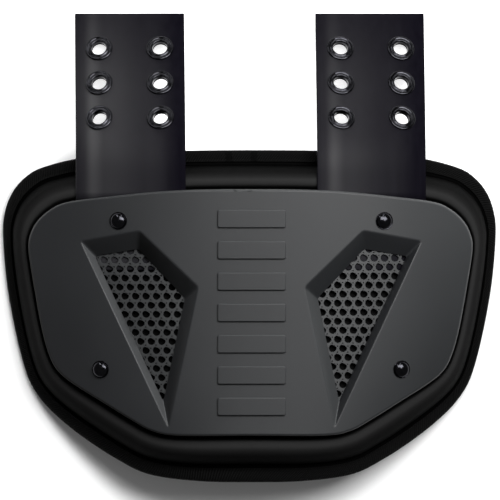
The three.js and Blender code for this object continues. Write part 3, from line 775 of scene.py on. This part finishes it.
# %% Model the shell flat
shell = new_piece("shell_moulding")
skirt = [at(offset(shell_outline, EDGE_ROUND + SUPPORT), FACE_LEVEL)]
skirt += [at(offset(shell_outline, EDGE_ROUND * (1 - out)), FACE_LEVEL - EDGE_ROUND * down)
          for out, down in quarter(6)]
skirt += [at(shell_outline, STRAP_LEVEL + SKIRT_CHAMFER),
          at(offset(shell_outline, SKIRT_CHAMFER), STRAP_LEVEL),
          at(offset(shell_outline, SHELL_SKIN), STRAP_LEVEL),
          at(offset(shell_outline, SHELL_SKIN), UNDER_LEVEL)]
face_loops, under_loops, bar_tops = [], [], []
outer, inner = extrude_rings(skirt)
face_loops.append(outer)
under_loops.append(inner)
for side in SIDES.values():
    rim = at(window_outline(side, 1), FACE_LEVEL)
    foot = at(window_outline(side, 0), WINDOW_FLOOR + WINDOW_LIP)
    flat = at(offset(rim, -RIM_ROUND), FACE_LEVEL)
    wall = [r + (f - r).normalized() * RIM_ROUND for r, f in zip(rim, foot)]
    rounded = [[bend(a, b, c, k / 5) for a, b, c in zip(flat, rim, wall)] for k in range(6)]
    tub = offset(window_outline(side, 0), -WINDOW_WALL)
    loops = extrude_rings([
        at(offset(rim, -RIM_ROUND - SUPPORT), FACE_LEVEL), *rounded,
        [w.lerp(f, 0.5) for w, f in zip(wall, foot)], foot,
        at(foot, WINDOW_FLOOR), at(tub, WINDOW_FLOOR), at(tub, WINDOW_FLOOR + WINDOW_LIP),
        at(offset(window_outline(side, 0.8), -WINDOW_WALL), UNDER_LEVEL)])
    face_loops.append(loops[0])
    under_loops.append(loops[1])
for place in rivets.values():
    hole = round_loop(RIVET_HOLE, place.translation)
    loops = extrude_rings([at(hole, FACE_LEVEL), at(hole, UNDER_LEVEL)])
    face_loops.append(loops[0])
    under_loops.append(loops[1])
for number in range(BAR_COUNT):
    bar = bar_outline(number)
    top = FACE_LEVEL + BAR_RISE
    loops = extrude_rings(
        [at(bar, FACE_LEVEL)]
        + [at(offset(bar, BAR_ROUND * (1 - out)), top - BAR_ROUND * down)
           for out, down in reversed(quarter(4))]
        + [at(offset(bar, BAR_ROUND + SUPPORT), top)])
    face_loops.append(loops[0])
    bar_tops.append(loops[1])
for loops in (face_loops, under_loops, bar_tops):
    fill_between(loops)
close_piece()
report(shell)

# %% [markdown]
# ## Strap slots
# The straps leave the shell through slots in its skirt. A Boolean modifier takes a plain box
# out of the skirt for each, while the shell is still flat.

# %% Cut the strap slots and bend the shell
STRAP_X = STRAP_SPACING / 2
SLOT_DEPTH = 14 * MM
SLOT_TOP = CREST_LEVEL + STRAP_THICKNESS + 3 * GAP
for sign in SIDES.values():
    bpy.ops.object.select_all(action="DESELECT")
    bpy.ops.mesh.primitive_cube_add(size=1)
    box = bpy.context.object
    width, length = STRAP_WIDTH + 4 * GAP, PAD_TOP - SHELL_TOP + SLOT_DEPTH
    box.data.transform(Matrix.Translation(
        (sign * STRAP_X, PAD_TOP - length / 2, SLOT_TOP / 2)) @ Matrix.Diagonal(
        (width, length, SLOT_TOP, 1)))
    bpy.ops.object.select_all(action="DESELECT")
    shell.select_set(True)
    bpy.context.view_layer.objects.active = shell
    cut = shell.modifiers.new("slot", "BOOLEAN")
    cut.operation, cut.solver, cut.object = "DIFFERENCE", "EXACT", box
    bpy.ops.object.modifier_apply(modifier=cut.name)
    bpy.data.objects.remove(box)
bpy.ops.object.mode_set(mode="EDIT")
cut_grid(lines(-SHELL_WIDTH / 2, SHELL_WIDTH / 2, 6 * MM),
         lines(SHELL_TOP - SHELL_HEIGHT, SHELL_TOP, 10 * MM))
close_piece()
lift(shell, arch)
mount(shell, "shell", shell_finish)

# %% [markdown]
# ## Pierced sheets
# Behind each window lies a thin sheet pierced with round holes in a honeycomb. One cell, a
# hexagon with a hole, is modelled once. Two Array modifiers repeat it, and Bisect trims the
# field to the window, so holes are cut through at its edge as on the real sheet.

# %% Model the pierced sheets
HOLE_PITCH, HOLE_RADIUS, HOLE_CHAMFER = 6.45 * MM, 2.25 * MM, 0.25 * MM
SHEET_DEPTH = 1.3 * MM
SHEET_TOP = SHEET_LEVEL + SHEET_THICKNESS
SHEET_ANCHORS = {"left": Vector((-77.8 * MM, -7.7 * MM, 0)),
                 "right": Vector((76.1 * MM, -6.4 * MM, 0))}
ROWS_UP, ROWS_DOWN, COLUMNS = 3, 17, 26


def hexagon_points(per_side=3):
    reach = HOLE_PITCH / math.sqrt(3)
    corners = [Vector((reach * math.cos(math.radians(30 + 60 * k)),
                       reach * math.sin(math.radians(30 + 60 * k)), 0)) for k in range(6)]
    return [corners[k].lerp(corners[(k + 1) % 6], j / per_side)
            for k in range(6) for j in range(per_side)]


def pierced_sheet(side):
    sheet = new_piece(f"vent_sheet_{side}_pierced")
    row_pitch = HOLE_PITCH * math.sqrt(3) / 2
    start = SHEET_ANCHORS[side] + Vector((
        -HOLE_PITCH * (COLUMNS / 2 + ROWS_UP / 2), row_pitch * ROWS_UP, 0))
    edge = [start + point for point in hexagon_points()]
    bore = [start + point.normalized() * HOLE_RADIUS for point in hexagon_points()]
    mouth = [start + point.normalized() * (HOLE_RADIUS + HOLE_CHAMFER)
             for point in hexagon_points()]
    base = SHEET_TOP - SHEET_DEPTH
    extrude_rings([at(edge, SHEET_TOP), at(mouth, SHEET_TOP),
                   at(bore, SHEET_TOP - HOLE_CHAMFER), at(bore, base), at(edge, base)])
    bpy.ops.object.mode_set(mode="OBJECT")
    for count, step in ((COLUMNS, (HOLE_PITCH, 0, 0)),
                        (ROWS_UP + ROWS_DOWN, (HOLE_PITCH / 2, -row_pitch, 0))):
        array = sheet.modifiers.new("cells", "ARRAY")
        array.count, array.use_relative_offset = count, False
        array.use_constant_offset, array.constant_offset_displace = True, step
        array.use_merge_vertices, array.merge_threshold = True, 0.02 * MM
        bpy.ops.object.modifier_apply(modifier=array.name)
    bpy.ops.object.mode_set(mode="EDIT")
    corners = [shell_spot(*floor, SIDES[side]) for _, floor in WINDOW_CORNERS]
    centre = sum(corners, Vector()) / 4
    for i, corner in enumerate(corners):
        run = corners[(i + 1) % 4] - corner
        normal = Vector((run.y, -run.x, 0)).normalized()
        normal *= 1 if normal.dot(corner - centre) > 0 else -1
        bpy.ops.mesh.select_all(action="SELECT")
        bpy.ops.mesh.bisect(plane_co=corner + normal * (WINDOW_WALL - GAP), plane_no=normal,
                            use_fill=True, clear_outer=True)
    close_piece()
    lift(sheet, arch)
    mount(sheet, f"vent_sheet_{side}", sheet_finish)


for side in SIDES:
    pierced_sheet(side)

# %% [markdown]
# ## Straps
# Each strap is a springy strip that lies on the foam, climbs the crest, bends down and then
# runs straight to the table. It is drawn flat with its holes, crowned a little near its
# edges, and cut across where it bends. Lifting it onto the surface that it follows bends it,
# and a stretch factor keeps its thickness where it leans.

# %% Describe the surface that the straps follow
STRAP_FLOOR, STRAP_END_TILT, STRAP_BEND = 0.6 * MM, 0.12, 34 * MM
CLIMB_START, CLIMB_END = SHELL_TOP - 0.6 * SHELL_INSET, SHELL_TOP - 0.08 * SHELL_INSET
BEND_Y = SHELL_TOP + (1 - 0.72) * SHELL_INSET
BEND_LENGTH = STRAP_END - BEND_Y
OVER_CREST = CREST_LEVEL + GAP


def strap_height(x, y):
    climb = min(1.0, max(0.0, (y - CLIMB_START) / (CLIMB_END - CLIMB_START)))
    climb = climb * climb * (3 - 2 * climb)
    lying = arch(x, y) + STRAP_LEVEL + (OVER_CREST - STRAP_LEVEL) * climb
    end = STAND + STRAP_FLOOR + STRAP_END_TILT * (STRAP_X + STRAP_WIDTH / 2 - abs(x))
    drop = arch(x, BEND_Y) + OVER_CREST - end
    bent = min(1.0, max(0.0, (y - BEND_Y) / STRAP_BEND))
    fallen = STRAP_BEND * (bent**3 - bent**4 / 2) + max(0.0, y - BEND_Y - STRAP_BEND)
    return lying - drop * fallen / (BEND_LENGTH - STRAP_BEND / 2)


def strap_spot(distance):
    """How far up the plate a point is that lies a distance down the strap from its end."""
    step, y, run = 0.1 * MM, STRAP_END, 0.0
    while run < distance:
        run += step * math.hypot(1, slopes(strap_height, STRAP_X, y)[1])
        y -= step
    return y


for y in (BEND_Y, 0.5 * (BEND_Y + STRAP_END), STRAP_END):
    lean = math.degrees(math.atan(-slopes(strap_height, STRAP_X, y)[1]))
    print(f"at y = {y / MM:.0f} mm the strap leans {lean:.0f} degrees")

# %% Model the straps
EYELET_PITCH, EYELET_SPACING, EYELET_END = 24.8 * MM, 37.5 * MM, 26.3 * MM
EYELET_BARREL = 5.2 * MM
STRAP_TUCK = 50 * MM
STRAP_SECTION = [
    # in from the edge, level: the crown, the border and the rolled edge
    (6.0 * MM, 2.0 * MM), (4.4 * MM, 1.98 * MM), (3.4 * MM, 1.93 * MM),
    (2.6 * MM, 1.85 * MM), (1.9 * MM, 1.74 * MM), (1.3 * MM, 1.6 * MM), (0.8 * MM, 1.5 * MM),
    (0.5 * MM, 1.42 * MM), (0.24 * MM, 1.25 * MM), (0.07 * MM, 1.0 * MM), (0, 0.7 * MM),
    (0, 0.3 * MM), (0.09 * MM, 0.09 * MM), (0.3 * MM, 0),
]


def eyelet_places(sign):
    places = {}
    for row in range(3):
        y = strap_spot(EYELET_END + row * EYELET_PITCH)
        for column in (-1, 1):
            number = f"{row + 1}_{'outer' if column == sign else 'inner'}"
            spot = Vector((sign * STRAP_X + column * EYELET_SPACING / 2, y, 0))
            places[number] = stand_on(strap_height, spot, 0)
    return places


def strap_outline(sign, inset):
    x, half = sign * STRAP_X, STRAP_WIDTH / 2 - inset
    low, high = SHELL_TOP - STRAP_TUCK + inset, STRAP_END - inset
    corners = [Vector(spot) for spot in
               ((x - half, low, 0), (x + half, low, 0), (x + half, high, 0), (x - half, high, 0))]
    return round_corners(corners, max(0.6 * MM - inset, 0.05 * MM), steps=3)


def strap(side):
    sign = SIDES[side]
    piece = new_piece(f"strap_{side}_band")
    top, bottom = extrude_rings(
        [at(strap_outline(sign, inset), level) for inset, level in STRAP_SECTION])
    tops, bottoms = [top], [bottom]
    holes = [(place, EYELET_BARREL + GAP, 0) for place in eyelet_places(sign).values()]
    rivet = rivets[f"rivet_upper_{side}"]
    holes.append((rivet, RIVET_HOLE, depth_of(rivet, STRAP_LEVEL)))
    for place, radius, depth in holes:
        loops = [[place @ (spot + Vector((0, 0, depth + level))) for spot in round_loop(radius)]
                 for level in (STRAP_THICKNESS, 0)]
        hole = extrude_rings([at(loops[0], STRAP_THICKNESS), at(loops[1], 0)])
        tops.append(hole[0])
        bottoms.append(hole[1])
    fill_between(tops)
    fill_between(bottoms)
    x, half = sign * STRAP_X, STRAP_WIDTH / 2
    cut_grid(lines(x - half, x + half, 6 * MM),
             lines(SHELL_TOP - STRAP_TUCK, CLIMB_START, 8 * MM)
             + lines(CLIMB_START, BEND_Y, 1.5 * MM)
             + lines(BEND_Y, BEND_Y + STRAP_BEND, 1.7 * MM)
             + lines(BEND_Y + STRAP_BEND, STRAP_END, 6 * MM))
    close_piece()
    lift(piece, strap_height, lambda slope_x, slope_y: math.hypot(1, slope_x, slope_y))
    mount(piece, f"strap_{side}", strap_finish)


for side in SIDES:
    strap(side)

# %% [markdown]
# ## Eyelets
# An eyelet is a short brass tube whose front end is rolled outwards into a round rim, with a
# flat washer clinched behind. It is one closed section spun round the axis. One is modelled,
# and each of the twelve is a copy with its own mesh, turned to the lean of the strap.

# %% Model one eyelet and copy it
EYELET_SECTION = [
    # radius, height over the strap's back, in millimetres
    (4.5, -0.9), (4.6, -1.0), (8.3, -1.0), (8.45, -0.85), (8.4, -0.7), (5.5, -0.35),
    (5.2, -0.2), (5.2, 2.1), (5.4, 2.32), (8.0, 2.3), (8.3, 2.36), (8.45, 2.55), (8.4, 2.8),
    (8.2, 3.02), (7.85, 3.2), (7.45, 3.26), (7.05, 3.18), (6.7, 3.02), (6.45, 2.95),
    (6.2, 3.02), (5.95, 3.22), (5.65, 3.38), (5.3, 3.4), (4.95, 3.26), (4.7, 3.0),
    (4.55, 2.6), (4.5, 2.1), (4.5, 0.4),
]


def spin_piece(name, section):
    piece = new_piece(name)
    start_loop([Vector((radius, 0, height)) for radius, height in section])
    bpy.ops.mesh.spin(steps=48, angle=2 * math.pi, center=(0, 0, 0), axis=(0, 0, 1))
    close_piece(40)
    return piece


def copy_to(master, name, place):
    piece = bpy.data.objects.new(name, master.data.copy())
    piece.data.name = name
    bpy.context.collection.objects.link(piece)
    piece.data.transform(place)
    return piece


eyelet_master = spin_piece("eyelet_master", [(r * MM, h * MM) for r, h in EYELET_SECTION])
for side, sign in SIDES.items():
    for number, place in eyelet_places(sign).items():
        eyelet = copy_to(eyelet_master, f"eyelet_{side}_{number}_rolled", place)
        mount(eyelet, f"eyelet_{side}_{number}", nickel_finish)
bpy.data.objects.remove(eyelet_master)

# %% [markdown]
# ## Rivets
# A rivet has a domed head with a thin rim, a shank through all the layers and a flat tail
# behind the foam. The upper rivets also go through the straps. The section runs from the
# axis to the axis, so the last loop is closed along the axis, where merging removes it.

# %% Model the rivets


def rivet_section(tail):
    """Radius and height from the tail, round the head, to the top of the dome."""
    face, back = tail + 0.5 * MM, tail + 1.7 * MM
    shank = [(0, face), (5.1 * MM, face), (5.5 * MM, face + 0.4 * MM),
             (5.5 * MM, back - 0.3 * MM), (5.2 * MM, back), (2.3 * MM, back),
             (2.3 * MM, 0.3 * MM)]
    rim = [(5.3 * MM, 0.3 * MM), (5.5 * MM, 0.42 * MM), (5.5 * MM, 0.62 * MM),
           (5.36 * MM, 0.78 * MM), (5.15 * MM, 0.8 * MM), (5.02 * MM, 0.72 * MM)]
    dome = [(4.98 * MM * math.cos(turn), 0.8 * MM + 2.7 * MM * math.sin(turn))
            for turn in [math.radians(90) * k / 12 for k in range(13)]]
    dome[-1] = (0, dome[-1][1])
    return shank + rim + dome


for name, place in rivets.items():
    rivet = spin_piece(f"{name}_domed", rivet_section(depth_of(place, 0)))
    rivet.data.transform(place)
    mount(rivet, name, nickel_finish)

# %% [markdown]
# ## Stage
# The plate lies on a white table. In the picture the ground is white round the straps and
# through their eyelets, and a shadow shows only under the lower edge. So the table gives
# off light of its own beyond the pad's top edge, where the straps would shade it. This glow
# is painted light: the table is no lamp, and the glow takes out the straps' shadows.

# %% Build the stage
GLOW_START, GLOW_FULL, GLOW_STRENGTH = 45 * MM, 70 * MM, 0.75
stage_finish, tree = new_finish("white_table_with_painted_glow")
place = add(tree, "ShaderNodeTexCoord").outputs["Object"]
paper = add(tree, "ShaderNodeTexNoise", {"Vector": place, "Scale": 3.0})
axes = add(tree, "ShaderNodeSeparateXYZ", {"Vector": place})
# Painted light: the table glows beyond the pad's top edge, taking out the shadows there.
glow = add(tree, "ShaderNodeMapRange", {
    "Value": axes.outputs["Y"], "From Min": GLOW_START, "From Max": GLOW_FULL,
    "To Min": 0.0, "To Max": GLOW_STRENGTH}, interpolation_type="SMOOTHSTEP")
finish_with(tree, add(tree, "ShaderNodeBsdfPrincipled", {
    "Base Color": two_tones(tree, paper.outputs["Fac"], "#f1f1f1", "#f4f4f4"),
    "Roughness": 0.9, "Specular IOR Level": 0.1, "Emission Color": (1, 1, 1, 1),
    "Emission Strength": glow.outputs["Result"]}))
bpy.ops.object.select_all(action="DESELECT")
bpy.ops.mesh.primitive_plane_add(size=8)
table = bpy.context.object
table.name = "table"
table.data.materials.append(stage_finish)
print("the table glows beyond", f"{GLOW_START / MM:.0f} mm up the plate")

# %% [markdown]
# ## Lights
# A large soft light from the right makes the shell go from dark at the left to light at the
# right. One over the top edge lights the top of the shell and the foam. Both stand high,
# since a low one would shine back from the sloping straps. Two narrow lights beyond the
# straps draw the glints on the metal, and a dim white room fills the shadows.

# %% Place the lights
ROOM_STRENGTH = 0.18
LIGHT_AIM = Vector((0, 0, 30 * MM))
LIGHTS = [
    # name, place in metres, width and length in metres, watts
    ("key_right", (0.62, 0.42, 1.15), (0.6, 0.6), 18),
    ("key_top", (0.04, 0.38, 0.85), (0.45, 0.45), 8.2),
    ("strip_upper_left", (-0.62, 0.95, 0.7), (0.12, 0.7), 4),
    ("strip_top", (0.25, 1.05, 0.7), (0.12, 0.7), 2),
]
world = bpy.data.worlds.new("white_room")
bpy.context.scene.world = world
world.use_nodes = True
room = world.node_tree.nodes["Background"]
room.inputs["Color"].default_value = (1, 1, 1, 1)
room.inputs["Strength"].default_value = ROOM_STRENGTH
for name, place, size, power in LIGHTS:
    light = bpy.data.objects.new(name, bpy.data.lights.new(name, "AREA"))
    light.data.shape, light.data.size, light.data.size_y = "RECTANGLE", *size
    light.data.energy = power
    light.location = place
    light.rotation_euler = (Vector(place) - LIGHT_AIM).to_track_quat("Z", "Y").to_euler()
    light.visible_camera = False
    bpy.context.collection.objects.link(light)
print(len(LIGHTS), "lights")

# %% [markdown]
# ## Camera
# The camera looks down from far away with a long lens, as a picture in a catalogue does, so
# nearly nothing is foreshortened. It stands 1.2 degrees to the left of straight above. That
# angle is chosen so that windows and rivets fall closer to their places in the picture.

# %% Place the camera
FIELD, LENS, SENSOR = 310 * MM, 1400, 36
AIM = Vector((0.3 * MM, -1.6 * MM, 5 * MM))
TURN = math.radians(1.2)
REACH = FIELD * LENS / SENSOR
FARTHEST = 60
view = bpy.context.scene.view_settings
view.view_transform, view.look = "Standard", "None"
camera = bpy.data.objects.new("camera", bpy.data.cameras.new("camera"))
camera.data.lens, camera.data.sensor_width = LENS, SENSOR
camera.data.clip_end = FARTHEST
camera.location = AIM + Vector((-REACH * math.sin(TURN), 0, REACH * math.cos(TURN)))
camera.rotation_euler = (0, -TURN, 0)
bpy.context.collection.objects.link(camera)
bpy.context.scene.camera = camera
print(f"the camera is {camera.location.z:.1f} m over the table")
